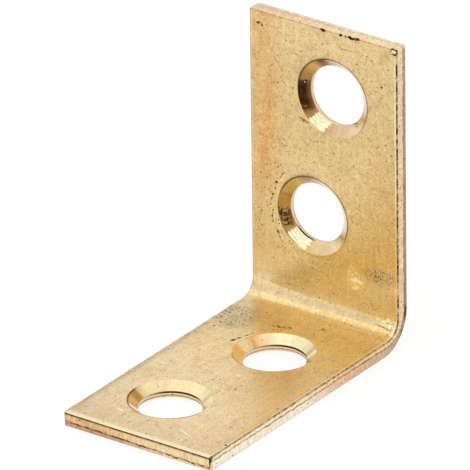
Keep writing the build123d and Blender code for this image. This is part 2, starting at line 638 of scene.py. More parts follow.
    def tarnish_and_shade(self, x: Array, s: Array) -> Array:
        """Where the inner face is coppery, greyed or browned, with painted shade in the grey: soft bands
        and bumps, added up.

        Args:
            x: places across the strip, in millimetres.
            s: places along it.

        Returns:
            Three columns from 0 to 1: how coppery, greyed and browned each place is; the grey also holds a
                painted shade band above the fold's crease.
        """
        left = x + self.width / 2
        copper = 0.76 * bell(left - 1.45 - 0.25 * Ripple(41, 7.0)(s), 1.25) * ease(s, 6.5, 11.0)
        copper *= 0.55 + 0.45 * ease(left, 0.2, 1.4)
        copper *= 0.80 + 0.25 * Ripple(42, 5.0)(x * 2.5, s) + 0.30 * bell(s - 14.5, 4.5)
        copper += 0.8 * bell(left, 0.34) * (0.7 + 0.4 * Ripple(43, 1.5)(s))
        copper += 0.35 * bell(np.hypot(left - 1.1, s + 17.0), 1.0)
        copper += 0.50 * bell(np.hypot((left - 1.4) / 1.5, (s - 4.8) / 1.8), 1.3)
        copper += 0.30 * bell(np.hypot((x - 5.2) / 0.8, (s - 14.0) / 1.8), 1.0)
        grey = 0.68 * bell(np.hypot((left - 1.6) / 1.4, (s + 5.5) / 1.8), 1.4)
        grey += 0.25 * ease(s, -12.0, -16.0) * bell(left, 4.0)
        grey += 0.35 * bell(np.hypot((x - 5.6) / 1.1, (s - 4.6) / 0.8), 1.1)
        grey += 0.30 * bell(left - 0.5, 1.2) * ease(-s, 7.0, 9.0) * ease(s, -14.0, -12.0)
        # A grey band just above the fold's crease is painted shade.
        grey += 0.42 * ease(s, 0.0, 0.07) * (1 - ease(s, 0.35, 1.0))
        grey += 0.50 * bell(left, 0.45) * ease(-s, 2.5, 4.0)
        brown = 0.95 * bell(left, 0.42) * ease(-s, 3.0, 5.0) * (0.75 + 0.5 * Ripple(44, 1.2)(s))
        brown += 0.72 * (1 - ease(np.hypot((left - 1.6) / 1.9, (s + 5.6) / 2.1), 0.7, 1.1))
        brown += 0.95 * (1 - ease(np.hypot((x - 5.1) / 1.6, (s - 5.7) / 0.6), 0.5, 1.4))
        brown += 0.55 * bell(left - 0.8, 0.7) * bell(s - 7.5, 3.5)
        return np.clip(np.stack([copper, grey, brown], -1), 0, 1)

    def wear_and_highlights(self, x: Array, s: Array) -> Array:
        """Where the inner face is bright: worn and roughened on the foot, and painted highlights on the
        crushed patch above the fold, on the crushed corner of the fold, on a band below its crease and on
        the pale band above it.

        Soft bumps and bands at those places are added up.

        Args:
            x: places across the strip, in millimetres.
            s: places along it.

        Returns:
            How bright each place is worn, and how strong its painted highlight is.
        """
        left = x + self.width / 2
        # Painted highlights on the two crushed places by the fold.
        bright = 1.1 * bell(np.hypot((x - 2.9) / 1.1, s - 4.95), 0.72)
        bright += 1.2 * bell(np.hypot((x - 6.0) / 1.1, (s - 0.8) / 1.0), 0.60)
        # A painted highlight band just below the crease.
        bright += 0.38 * ease(s, -1.5, -0.55) * (1 - ease(s, -0.08, 0.02))
        bright += 0.30 * bell(np.hypot((left - 1.7) / 1.3, (s + 5.4) / 1.6), 1.3)
        # A painted pale band above the crease, stronger to the right.
        return bright + 0.20 * ease(s, 0.9, 1.3) * (1 - ease(s, 1.6, 2.4)) * ease(x, -2.0, 4.0)

    def outlines(self, flat: Array, marks: tuple[Mark, ...]) -> tuple[Array, Array]:
        """Each point's place in the mark that is nearest to it, so that the look can draw the outline.

        Places are in units of the mark's own size, so its outline is where they have length 1. They run
        evenly across a triangle, which keeps outlines sharp where marks are finer than the mesh. Points
        that are far from every mark are put far off.

        Args:
            flat: the points.
            marks: the marks.

        Returns:
            The places, and how strong the mark is that each belongs to.
        """
        far_off, reach = (0.0, 0.0, 9.0), 0.36
        place, level = np.tile(far_off, (len(flat), 1)), np.zeros(len(flat))
        nearest = np.full(len(flat), reach)
        for mark in marks:
            away = mark.away(flat)
            mine = away < nearest
            nearest[mine], level[mine] = away[mine], abs(mark.dirt)
            size = (mark.length / 2 + mark.width, mark.width, mark.high)
            place[mine] = mark.own(flat[mine]) / size
        return place, level

    def surface(self, marks: tuple[Mark, ...]) -> tuple[Array, Array, dict[str, Array]]:
        """Welds the patches, gives the inner face its relief, its scars and its painted glints, and folds
        the strip.

        Points that share a place in the flat strip become one vertex, so the seams close.

        Args:
            marks: the scars and the painted glints on the inner face.

        Returns:
            Vertices in metres, triangles as vertex numbers, and the vertex attributes by name.
        """
        holes = sorted(self.holes, key=lambda hole: hole.s)
        cells = [self.rows[i] for i in (0, 1, 3, 4)]
        patches = [self.hole_patch(hole, rows) for hole, rows in zip(holes, cells)]
        patches += self.fold_patches() + [self.wall_patch()]
        triangles, start = [], 0
        for patch in patches:
            m, n = patch.flat.shape[:2]
            k = start + np.arange(m * n).reshape(m, n)
            a, b, c, d = k[:-1, :-1], k[:-1, 1:], k[1:, 1:], k[1:, :-1]
            quads = np.stack([a, b, c, a, c, d], -1).reshape(-1, 3)
            triangles.append(quads[:, ::-1] if patch.turned else quads)
            start += m * n
        flat = np.concatenate([p.flat.reshape(-1, 3) for p in patches])
        weld_steps_per_mm = 1e4
        grid = np.round(flat * weld_steps_per_mm).astype(np.int64)
        _, kept, place = np.unique(grid, axis=0, return_index=True, return_inverse=True)
        faces = place.reshape(-1)[np.concatenate(triangles)]
        whole = (faces[:, 0] != faces[:, 1]) & (faces[:, 1] != faces[:, 2]) & (faces[:, 2] != faces[:, 0])
        faces = faces[whole]

        def gather(name: str) -> Array:
            """One field of all patches, at the kept points."""
            parts = [getattr(p, name) for p in patches]
            return np.concatenate([v.reshape(v.shape[0] * v.shape[1], -1) for v in parts])[kept].squeeze()

        flat, face = gather("flat"), gather("face")
        x, s = flat[:, 0], flat[:, 1]
        front = ease(flat[:, 2], 0.6, 1.1) * (1 - np.clip(gather("zone").sum(-1), 0, 1))
        raised = flat.copy()
        sunk = sum(m.depth * bell(m.away(flat), m.width) for m in marks)
        raised[:, 2] += face * (self.relief(x, s) - sunk)
        named = {name: gather(name) for name in ("zone", "seat_look", "tint", "rim", "line", "fracture")}
        named["strip"] = flat
        named["stain_and_shade"] = self.tarnish_and_shade(x, s) * front[:, None]
        named["bright_wear_and_highlight"] = gather("bright_wear_and_highlight") + self.wear_and_highlights(x, s) * front
        dirty, bright_wear_and_highlight = tuple(m for m in marks if m.dirt > 0), tuple(m for m in marks if m.dirt < 0)
        named["dirt"], named["dirt_level"] = self.outlines(flat, dirty)
        named["scratch"], named["scratch_level"] = self.outlines(flat, bright_wear_and_highlight)
        return self.fold(raised), faces, named


def scars_and_glints() -> tuple[Mark, ...]:
    """The nicks, dents and scratches that can be told apart on the bracket, and painted glints on its
    crushed places.

    A row gives a mark's x, s, width, depth and dirt, and then its length, turn, w and high where it
    has them.

    Returns:
        The marks.
    """
    top_edge_nicks = (
        (0.02, 25.06, 0.11, 0.06, 1, 0.28, -6), (1.66, 25.08, 0.1, 0.05, 1, 0.08),
        (2.62, 25.06, 0.11, 0.07, 1, 0.42, -8), (3.2, 25.12, 0.1, 0.02, 0.9, 0.3),
        (6.52, 24.93, 0.3, 0.03, 1, 0.12), (6.52, 24.94, 0.15, 0, -1, 0.1),
        (-5.98, 24.14, 0.12, 0.03, 0.85, 0.08, 50), (-5.66, 24, 0.1, 0.02, 0.85, 0.06, -20),
        (-5.8, 24.08, 0.06, 0, -0.9),
    )
    upright_pits = (
        (-3.4, 23.3, 0.06, 0.01, 0.6), (0, 23.9, 0.07, 0.01, 0.7), (5.4, 21.7, 0.09, 0.02, 0.9),
        (-4.2, 19.6, 0.09, 0.01, 0.6), (-4.3, 18.3, 0.06, 0.01, 0.6),
        (-2.8, 19.5, 0.06, 0.01, 0.6, 0.2, 70), (3.7, 22, 0.07, 0.01, 0.6), (3.9, 24.1, 0.1, 0, -0.8),
        (4.5, 23.7, 0.05, 0, 0.5, 0.2), (6, 23.3, 0.07, 0.01, 0.5),
        (-1.85, 17.1, 0.05, 0.01, 0.7, 0.9, -12), (-1.7, 16.9, 0.04, 0, 0.5, 0.5, -12),
        (-4.5, 21.6, 0.04, 0, 0.4, 0.5, -50), (2, 24, 0.04, 0, 0.4, 1.3, -4),
        (-1.6, 14.1, 0.06, 0.01, 0.5), (-0.1, 15.6, 0.06, 0.01, 0.6),
        (-2.4, 22.4, 0.035, 0, 0.5, 0.9, -12), (-0.7, 22.9, 0.03, 0, -0.3, 0.9, -2),
        (4.3, 15.2, 0.04, 0, 0.4, 0.6, 80), (5, 16.6, 0.04, 0, 0.4, 0.5, 60),
    )
    chain_by_low_seat = tuple(
        (x, s, size, 0.01, 0.85, 1.2 * size, turn)
        for x, s, size, turn in (
            (-4.42, 11.1, 0.1, 60), (-4.05, 11.62, 0.05, 20), (-3.85, 11.95, 0.06, 20),
            (-4.55, 10.55, 0.06, 70), (-4.78, 10, 0.08, 80), (-5.15, 10.3, 0.05, 80),
            (-4.92, 9.58, 0.07, 60), (-5.35, 9.2, 0.04, 60), (-5, 9.1, 0.06, 90), (-4.8, 8.6, 0.06, 95),
            (-4.86, 8.15, 0.07, 85), (-4.8, 7.7, 0.06, 80), (-4.34, 6.95, 0.1, -40),
            (-4.15, 6.55, 0.07, -60), (-3.94, 6.22, 0.05, -45), (-5.3, 11.3, 0.05, 0),
        )
    )
    scratches_by_low_seat = (
        (-4.05, 6.6, 0.05, 0, -0.5, 0.5, -52), (-3.3, 5.95, 0.05, 0, -0.45, 0.45, -36),
        (-2.6, 5.3, 0.05, 0, -0.45, 0.5, -24), (-2.9, 5.05, 0.05, 0.01, 0.4, 0.4, -28),
        (-1.4, 4.9, 0.05, 0, -0.5, 0.9, -5), (0.3, 5.75, 0.05, 0.01, 0.35, 0.4, 12),
        (0.85, 6, 0.05, 0.01, 0.4, 0.2, 30),
    )
    by_the_fold = (
        (2.84, 4.95, 0.75, 0.13, 0), (2.5, 5.25, 0.26, 0.08, 0), (3.05, 5.35, 0.24, 0.07, 0),
        (2.72, 4.82, 0.26, 0.08, 0), (3.2, 4.78, 0.24, 0.07, 0), (2.4, 4.55, 0.22, 0.06, 0),
        (2.9, 4.32, 0.24, 0.07, 0), (5.3, 0.6, 0.22, 0.06, 0), (5.55, 1.2, 0.24, 0.06, 0),
        (5.85, 0.65, 0.24, 0.08, 0), (6.2, 1.2, 0.24, 0.08, 0), (6.3, 0.5, 0.22, 0.07, 0),
        (5.9, 1.7, 0.24, 0.06, 0), (-3.4, 2.4, 0.07, 0.01, 0.8, 0.2),
        (-2.9, 2.3, 0.04, 0.01, 0.5, 0.5, 10), (-0.5, 1.6, 0.08, 0.01, 0.9),
        (-4.1, -0.2, 0.05, 0.01, 0.8), (2.4, -1, 0.06, 0.01, 0.8), (3.9, 2.9, 0.06, 0.01, 0.6),
        (5.5, 0.22, 0.05, 0.02, 0.9, 0.9, -12), (5.9, 0.95, 0.04, 0.01, 0.8, 0.4, 50),
        (6.4, 1.05, 0.04, 0.01, 0.8, 0.35, 80), (6.1, 0.7, 0.12, 0.03, -0.9, 0.5, 20),
        (6.3, 0.1, 0.05, 0.01, 0.8, 0.4, 25), (6.35, 1.6, 0.1, 0.02, -0.7, 0.3, 80),
        (6.8, 2.6, 0.2, 0, 0.8, 1.2, 90, 0.15, 0.22), (6.8, 0.6, 0.15, 0, 0.6, 0.8, 90, 0.1, 0.15),
    )
    on_the_foot = (
        (-1.98, -5.24, 0.07, 0.01, 0.8, 0.06), (-1.5, -5.16, 0.1, 0.01, 0.9, 0.08),
        (-1.22, -4.96, 0.08, 0.01, 0.8, 0.1, 24), (-0.7, -4.82, 0.08, 0.01, 0.8, 0.08),
        (1.5, -3.62, 0.1, 0.01, 0.7, 0.08), (1.88, -3.82, 0.07, 0.01, 0.6, 0.06),
        (-3.15, -8.9, 0.11, 0.01, 1, 0.2, 58), (-2.98, -8.36, 0.1, 0.01, 0.85, 0.2, 66),
        (-2.74, -7.66, 0.08, 0.01, 0.75, 0.2, 70), (-2.6, -7.16, 0.06, 0.01, 0.6, 0.12, 70),
        (-1.72, -4.98, 0.06, 0.01, 0.7), (-0.98, -5.1, 0.06, 0.01, 0.7), (-5.8, -7.7, 0.09, 0.01, 0.9),
        (-6.2, -6.2, 0.06, 0.01, 0.7), (5.7, -10.7, 0.06, 0.01, 0.5), (1.8, -15.6, 0.09, 0.01, 0.9),
        (1.9, -14.9, 0.05, 0.01, 0.5), (6.55, -23.5, 0.09, 0.01, 1), (0.7, -13.6, 0.07, 0, -1, 0.5, -15),
        (2.9, -23.6, 0.06, 0, -1, 1.1, -20), (-3.4, -23.2, 0.07, 0, -1, 0.45, -20),
        (-5.2, -15, 0.06, 0, -0.8, 0.5, 30), (6.72, -25.66, 0.07, 0.01, 0.9, 0.3, 70, 1.2, 0.3),
        (6.74, -25.8, 0.09, 0, 1, 0.12, 0, 0.72, 0.45),
    )
    # Painted glints on the crushed places by the fold.
    painted_glints_by_the_fold = tuple(
        (x, s, 0.075, 0, -0.9 if s < 3 else -0.55)
        for x, s in (
            (5.3, 0.75), (5.45, 0.98), (5.75, 1.25), (5.95, 0.93), (6.05, 0.52), (6.15, 1.48), (6.2, 0.2),
            (6.35, 1.9), (6.42, 0.86), (2.45, 4.72), (2.56, 5.12), (2.75, 4.66), (2.82, 5.34),
            (3.05, 4.98), (3.16, 4.58),
        )
    )
    rows = top_edge_nicks + upright_pits + chain_by_low_seat + scratches_by_low_seat
    rows += by_the_fold + on_the_foot + painted_glints_by_the_fold
    return tuple(Mark(*row) for row in rows)


def wrap_mesh(name: str, points: Array, faces: Array, named: dict[str, Array]) -> bpy.types.Object:
    """Puts computed arrays into a smooth-shaded mesh object at the origin.

    Args:
        name: the piece's name.
        points: vertices in metres.
        faces: triangles as vertex numbers.
        named: vertex attributes, one number or three to a vertex.

    Returns:
        The new object, linked to the scene.
    """
    mesh = bpy.data.meshes.new(name)
    mesh.from_pydata(points.tolist(), [], faces.tolist())
    for key, values in named.items():
        vector = values.ndim == 2
        layer = mesh.attributes.new(key, "FLOAT_VECTOR" if vector else "FLOAT", "POINT")
        layer.data.foreach_set("vector" if vector else "value", values.astype(np.float32).ravel())
    mesh.shade_smooth()
    mesh.update()
    piece = bpy.data.objects.new(name, mesh)
    bpy.context.scene.collection.objects.link(piece)
    return piece


class NodeSheet:
    """A material's or a world's node tree, with one way to add to it."""

    def __init__(self, owner: bpy.types.Material | bpy.types.World) -> None:
        """Empties the owner's node tree.

        Args:
            owner: the material or the world.
        """
        owner.use_nodes = True
        self.tree = owner.node_tree
        self.tree.nodes.clear()

    def add(self, kind: str, *inputs: Any, out: Any = 0, **settings: Any) -> Any:
        """Adds one node.

        Args:
            kind: the node's type without its "ShaderNode" start, and after a full stop its operation.
            inputs: values, hex colours or sockets for its first inputs, or one dict of them by name.
            out: the output that is handed back, by name or number.
            settings: the node's own properties.

        Returns:
            The chosen output socket, or the node if it has none.
        """
        kind, _, operation = kind.partition(".")
        node = self.tree.nodes.new("ShaderNode" + kind)
        if operation:
            node.operation = operation
        for key, value in settings.items():
            setattr(node, key, value)
        links = inputs[0] if inputs and isinstance(inputs[0], dict) else dict(enumerate(inputs))
        for key, value in links.items():
            if isinstance(value, bpy.types.NodeSocket):
                self.tree.links.new(value, node.inputs[key])
            else:
                node.inputs[key].default_value = linear(value) if isinstance(value, str) else value
        return node.outputs[out] if len(node.outputs) else node


@dataclass(frozen=True)
class RolledBrass:
    """Cold-rolled yellow brass strip, lightly tarnished.

    Rolling leaves a fairly smooth skin that mirrors in soft focus, with specks and short streaks.
    Thin tarnish turns it orange, grey or brown in places. Its sheared walls are burnished above a
    ragged fracture line and torn below it, and the countersunk seats are cut bright. Light and shade
    are painted into the colour in places: the seats' reflections, highlights and burr shadows, a pale
    band and a grey shade band by the fold's crease, highlights along the edges and on the crushed
    places, and a dark line along the drawn groove.
    """

    # The colour along the strip; the bright stop at 1.8 mm paints the pale band that the fold mirrors above
    # its crease.
    face: tuple[tuple[float, str], ...] = (
        (-24.4, "#E8CDA3"), (-22.0, "#EFD5A8"), (-17.0, "#F3DEAE"), (-12.0, "#F0D5A2"), (-9.0, "#EDD298"),
        (-6.0, "#EFD59C"), (-4.0, "#E6C896"), (-2.0, "#E6CE98"), (0.8, "#E8CE98"), (1.8, "#F9E1AE"),
        (2.8, "#F3DCA8"), (4.0, "#F0D492"), (5.5, "#EACB8A"), (8.0, "#E8CC8E"), (12.0, "#E9CB92"),
        (16.0, "#E3C58D"), (20.0, "#E3C58E"), (23.5, "#E9CC97"),
    )
    burnished: tuple[tuple[float, str], ...] = (
        (-25.75, "#ECC088"), (-25.5, "#FFE8BC"), (-13.0, "#FFE5B5"), (-8.0, "#F4C48E"), (-4.0, "#F0CE98"),
        (4.0, "#F0CCA0"), (24.9, "#F5D2A8"), (25.1, "#ECCBA8"),
    )
    torn: tuple[tuple[float, str], ...] = (
        (-25.75, "#C89A74"), (-25.5, "#FFF2D6"), (-13.0, "#FFEED2"), (-8.0, "#EDBC94"), (-3.0, "#D0B290"),
        (3.0, "#A88C6E"), (24.9, "#B49A80"), (25.1, "#F4D8B8"),
    )
    pale_end: str = "#FFE6B8"
    cloud: str = "#C9A468"
    smudge: str = "#B4834F"
    copper: str = "#DFA868"
    grey: str = "#CAB69A"
    brown: str = "#35210C"
    seat_root: str = "#8A5A34"
    land: str = "#F3CBAA"
    bright_wear_and_highlight: str = "#FFF3CC"
    worn_gleam: str = "#FFE6A2"
    gold: str = "#E2BC62"
    glint: str = "#FFF9D4"
    roughness: float = 0.27
    length: tuple[float, float] = (-25.8, 25.2)
    half_width: float = 6.8

    def build(self) -> bpy.types.Material:
        """Makes the material.

        Returns:
            The material, under the name rolled_brass.
        """
        material = bpy.data.materials.new("rolled_brass")
        g = NodeSheet(material)
        strip = g.add("Attribute", out="Vector", attribute_name="strip")
        x, s, _ = g.add("SeparateXYZ", strip).node.outputs
        wall, seat, land = self.columns(g, "zone")
        copper, grey, brown = self.columns(g, "stain_and_shade")
        place = g.add("TexCoord", out="Object")
        mm = g.add("VectorMath.SCALE", {0: place, "Scale": 1000.0})

        # Noises, in waves per millimetre. The finest is drawn coarser than real rolling marks.
        noises = ((0.22, 3.0, 0.6), (1.1, 3.0, 0.65), (4.5, 2.0, 0.6), (6.5, 2.0, 0.8))
        clouds, blotches, gravel, grain = (
            g.add("TexNoise", {"Vector": mm, "Scale": scale, "Detail": detail, "Roughness": rough})
            for scale, detail, rough in noises
        )
        drawn_out = g.add("VectorMath.MULTIPLY", strip, (4.0, 0.5, 1.0))
        streaks = g.add("TexNoise", {"Vector": drawn_out, "Scale": 1.0, "Detail": 4.0, "Roughness": 0.7})

        # The face: its colour changes along the strip, with a paler band painted above the fold's crease,
        # and tarnish lies over it, with painted shade in the grey just above the crease.
        # The seats, whose colours paint what they mirror, the bores and the sheared walls take its place.
        fog = g.add("MapRange", clouds, 0.45, 0.7, 0.0, 0.15)
        smear = g.add("MapRange", blotches, 0.50, 0.72, 0.0, 0.25)
        patchy = g.add("MapRange", blotches, 0.3, 0.7, 0.7, 1.15)
        reddened = g.add("Math.MULTIPLY", copper, patchy, use_clamp=True)
        greyed_and_shaded = g.add("Math.MULTIPLY", grey, patchy, use_clamp=True)
        cut, ring, matt = self.seats(g)
        edge, edge_lines = self.walls(g, strip, x, s)
        layers = [(fog, self.cloud), (smear, self.smudge), (reddened, self.copper), (greyed_and_shaded, self.grey)]
        layers += [(seat, cut), (land, self.land), (wall, edge)]
        skin = self.along(g, s, self.face)
        for mask, colour in layers:
            skin = g.add("Mix", {0: mask, 6: skin, 7: colour}, out=2, data_type="RGBA")

        # Grain and streaks lighten and darken it all, most on the upright, and rings do on the seats.
        speck = g.add("MapRange", grain, 0.25, 0.75, 0.79, 1.21)
        flakes = g.add("MapRange", gravel, 0.42, 0.30, 0.0, 0.30)
        glossy = g.add("MapRange", gravel, 0.58, 0.72, 0.0, 0.20)
        flakes = g.add("Math.SUBTRACT", glossy, flakes)
        upper = g.add("MapRange", s, 4.0, 10.0, 0.4, 1.0)
        speck = g.add("Math.MULTIPLY_ADD", flakes, upper, speck)
        ringed = g.add("MapRange", ring, 0.25, 0.75, 0.88, 1.12)
        speck = g.add("Mix", {0: seat, 2: speck, 3: ringed}, out=0, data_type="FLOAT")
        line = g.add("MapRange", streaks, 0.3, 0.7, 0.92, 1.08)
        shade = g.add("Math.MULTIPLY", speck, line)
        skin = g.add("VectorMath.MULTIPLY", skin, shade)

        # Worn places are bright, and highlights are painted on the crushed places by the fold, on the bands
        # by its crease, along the shoulder just inside the outline and on the foot's lip.
        worn_and_highlit = g.add("Attribute", out="Fac", attribute_name="bright_wear_and_highlight")
        crumbs = g.add("MapRange", gravel, 0.60, 0.42, 0.10, 1.2)
        granular_wear_and_highlight = g.add("Math.MULTIPLY", worn_and_highlit, crumbs)
        painted_edge_highlight = self.painted_edge_highlight(g, x, s, streaks)
        painted_edge_highlight = g.add("Math.MULTIPLY_ADD", wall, -1.0, painted_edge_highlight)
        for mask, colour in ((granular_wear_and_highlight, self.worn_gleam), (painted_edge_highlight, self.bright_wear_and_highlight)):
            mask = g.add("Math.MAXIMUM", mask, 0.0, use_clamp=True)
            skin = g.add("Mix", {0: mask, 6: skin, 7: colour}, out=2, data_type="RGBA")

        # Pits, scars, broad granular dirt and the lines along edges are dark. Some lines are painted shade:
        # the dark rims paint the burrs' shadows, and the drawn line paints the dark that the roll-over
        # mirrors.
        pits, flecks = self.pits(g, mm, clouds)
        plain = g.add("Math.MULTIPLY_ADD", seat, -1.0, 1.0)
        pits = g.add("Math.MULTIPLY", pits, plain)
        dirt, scratch = self.mark_mask(g, mm, "dirt"), self.mark_mask(g, mm, "scratch")
        stony = g.add("MapRange", grain, 0.525, 0.575, 0.0, 0.95)
        stony = g.add("Math.MULTIPLY", stony, brown)
        on_walls = g.add("Math.MULTIPLY", edge_lines, wall)
        dark = g.add("Attribute", out="Fac", attribute_name="line")
        for mask in (pits, dirt, stony, on_walls):
            dark = g.add("Math.MAXIMUM", dark, mask, use_clamp=True)
        skin = g.add("Mix", {0: dark, 6: skin, 7: self.brown}, out=2, data_type="RGBA")

        # Flecks and scratches are bright again, and so are the painted glints on the crushed places.
        flecks = g.add("Math.MULTIPLY", flecks, plain)
        flecks = g.add("Math.MAXIMUM", flecks, scratch, use_clamp=True)
        skin = g.add("Mix", {0: flecks, 6: skin, 7: self.bright_wear_and_highlight}, out=2, data_type="RGBA")

        rough = g.add("MapRange", blotches, 0.3, 0.7, self.roughness - 0.05, self.roughness + 0.07)
        foot = g.add("MapRange", s, -4.0, -10.0)
        changes = ((grey, 0.10), (dark, 0.20), (seat, -0.10), (worn_and_highlit, -0.02), (matt, 0.55), (foot, 0.07))
        for mask, change in changes:
            rough = g.add("Math.MULTIPLY_ADD", mask, change, rough)
        lift = g.add("Math.MULTIPLY_ADD", dark, -0.8, grain)
        lift = g.add("Math.MULTIPLY_ADD", granular_wear_and_highlight, 3.0, lift)
        bump = g.add("Bump", {"Height": lift, "Strength": 0.5, "Distance": 0.00001})
        shader = g.add(
            "BsdfPrincipled", {"Base Color": skin, "Metallic": 1.0, "Roughness": rough, "Normal": bump}
        )
        g.add("OutputMaterial", {"Surface": shader})
        return material

    def columns(self, g: NodeSheet, name: str) -> Any:
        """The three columns of a vertex attribute."""
        vector = g.add("Attribute", out="Vector", attribute_name=name)
        return g.add("SeparateXYZ", vector).node.outputs

    def along(self, g: NodeSheet, s: Any, stops: tuple[tuple[float, str], ...]) -> Any:
        """A colour that changes along the strip.

        Args:
            g: the node sheet.
            s: the place along the strip.
            stops: places in millimetres, each with its colour.

        Returns:
            The colour's socket.
        """
        start, end = self.length
        share = g.add("MapRange", s, start, end)
        colour = g.add("ValToRGB", share)
        elements = colour.node.color_ramp.elements
        while len(elements) < len(stops):
            elements.new(0.5)
        for element, (at, code) in zip(elements, stops):
            element.position = (at - start) / (end - start)
            element.color = linear(code)
        return colour

    def seats(self, g: NodeSheet) -> tuple[Any, Any, Any]:
        """The countersunk cones: colours round the turn that paint what each part mirrors, a browned sector
        that paints a dark reflection and a glinting one that paints a highlight, both with jagged ends.

        The countersink's marks run round the cone, so the noise that they come from is drawn out
        along the rim, and it moves the ends of the sectors.

        Args:
            g: the node sheet.

        Returns:
            The colour, the noise of the rings, and how matt the cut is.
        """
        rim = g.add("Attribute", out="Vector", attribute_name="rim")
        down = g.add("SeparateXYZ", rim).node.outputs[2]
        cut = g.add("Attribute", out="Color", attribute_name="tint")
        brown, painted_glint, matt = self.columns(g, "seat_look")
        drawn_out = g.add("VectorMath.MULTIPLY", rim, (0.9, 0.9, 8.0))
        ring = g.add("TexNoise", {"Vector": drawn_out, "Scale": 1.0, "Detail": 3.0, "Roughness": 0.7})
        lumps = g.add("VectorMath.MULTIPLY", rim, (4.0, 4.0, 2.5))
        lumps = g.add("TexNoise", {"Vector": lumps, "Scale": 1.0, "Detail": 3.0, "Roughness": 0.7})
        jag = g.add("Math.ADD", ring, lumps)
        jag = g.add("Math.SUBTRACT", jag, 1.0)

        # The browned sector paints a dark reflection: dark brown, lighter towards the bore.
        root = g.add("MapRange", down, 0.55, 1.0, 0.0, 0.75)
        root = g.add("Math.MULTIPLY_ADD", lumps, 1.2, root)
        root = g.add("MapRange", root, 0.55, 1.5)
        painted_dark_reflection = g.add("Mix", {0: root, 6: self.brown, 7: self.seat_root}, out=2, data_type="RGBA")
        level = g.add("Math.MULTIPLY_ADD", jag, 1.8, brown)
        level = g.add("MapRange", level, 0.34, 0.62)
        cut = g.add("Mix", {0: level, 6: cut, 7: painted_dark_reflection}, out=2, data_type="RGBA")
        # The glinting sector paints a highlight, streaked gold and pale.
        level = g.add("Math.MULTIPLY_ADD", jag, 1.6, painted_glint)
        mask = g.add("MapRange", level, 0.42, 0.58)
        stripe = g.add("Math.MULTIPLY_ADD", painted_glint, 0.22, ring)
        stripe = g.add("MapRange", stripe, 0.50, 0.72)
        glinting = g.add("Mix", {0: stripe, 6: self.gold, 7: self.glint}, out=2, data_type="RGBA")
        cut = g.add("Mix", {0: mask, 6: cut, 7: glinting}, out=2, data_type="RGBA")
        return cut, ring, matt

    def walls(self, g: NodeSheet, strip: Any, x: Any, s: Any) -> tuple[Any, Any]:
        """The sheared wall: burnished above the fracture line, torn below it, and both streaked.

        Both ends are paler towards the right.

        Args:
            g: the node sheet.
            strip: the flat coordinates.
            x: the place across the strip.
            s: the place along the strip.

        Returns:
            The colour, and how dark the fracture line is.
        """
        fracture = g.add("Attribute", out="Fac", attribute_name="fracture")
        below = g.add("MapRange", fracture, 0.03, -0.03)
        burnished, torn = self.along(g, s, self.burnished), self.along(g, s, self.torn)
        edge = g.add("Mix", {0: below, 6: burnished, 7: torn}, out=2, data_type="RGBA")
        at_end = g.add("MapRange", s, 25.0, 25.1)
        at_foot = g.add("MapRange", s, -25.6, -25.7)
        at_end = g.add("Math.ADD", at_end, at_foot)
        paler = g.add("MapRange", x, -3.0, 2.5, 0.0, 0.7)
        paler = g.add("Math.MULTIPLY", paler, at_end)
        edge = g.add("Mix", {0: paler, 6: edge, 7: self.pale_end}, out=2, data_type="RGBA")
        upwards = g.add("VectorMath.MULTIPLY", strip, (4.0, 4.0, 1.2))
        streak = g.add("TexNoise", {"Vector": upwards, "Scale": 1.0, "Detail": 3.0, "Roughness": 0.7})
        streak = g.add("MapRange", streak, 0.3, 0.7, 0.78, 1.14)
        edge = g.add("VectorMath.MULTIPLY", edge, streak)

        # The fracture line is darkest on the foot's end and isn't seen on the top end.
        flatwise = g.add("VectorMath.MULTIPLY", strip, (1.0, 1.0, 0.0))
        beads = g.add("TexNoise", {"Vector": flatwise, "Scale": 3.0, "Detail": 2.0, "Roughness": 0.7})
        beads = g.add("MapRange", beads, 0.40, 0.58, 0.35, 1.0)
        off = g.add("Math.ABSOLUTE", fracture)
        line = g.add("MapRange", off, 0.11, 0.05, interpolation_type="SMOOTHSTEP")
        line = g.add("Math.MULTIPLY", line, beads)
        shown = g.add("MapRange", s, -3.0, 3.0, 0.7, 0.36)
        here = g.add("MapRange", at_end, 0.0, 1.0, 1.0, 0.0)
        shown = g.add("Math.MULTIPLY", shown, here)
        shown = g.add("Math.MULTIPLY_ADD", at_foot, 0.85, shown)
        return edge, g.add("Math.MULTIPLY", line, shown)

    def painted_edge_highlight(self, g: NodeSheet, x: Any, s: Any, streaks: Any) -> Any:
        """Where a highlight is painted: a thin line just inside each long side, stronger to the right, and
        the foot's lip.

        Args:
            g: the node sheet.
            x: the place across the strip.
            s: the place along the strip.
            streaks: the noise that breaks the line up.

        Returns:
            How strong the painted highlight is.
        """
        side = g.add("Math.ABSOLUTE", x)
        side = g.add("Math.SUBTRACT", side, self.half_width - 0.18)
        side = g.add("Math.ABSOLUTE", side)
        side = g.add("MapRange", side, 0.09, 0.03, interpolation_type="SMOOTHSTEP")
        some = g.add("MapRange", streaks, 0.35, 0.55, 0.3, 0.85)
        stronger_right = g.add("MapRange", x, -1.0, 1.0, 0.3, 1.0)
        some = g.add("Math.MULTIPLY", some, stronger_right)
        side = g.add("Math.MULTIPLY", side, some)
        inner, outer = self.length[0] + 0.50, self.length[0] + 0.22
        lip = g.add("MapRange", s, inner, outer, 0.0, 0.75, interpolation_type="SMOOTHSTEP")
        return g.add("Math.MAXIMUM", side, lip)

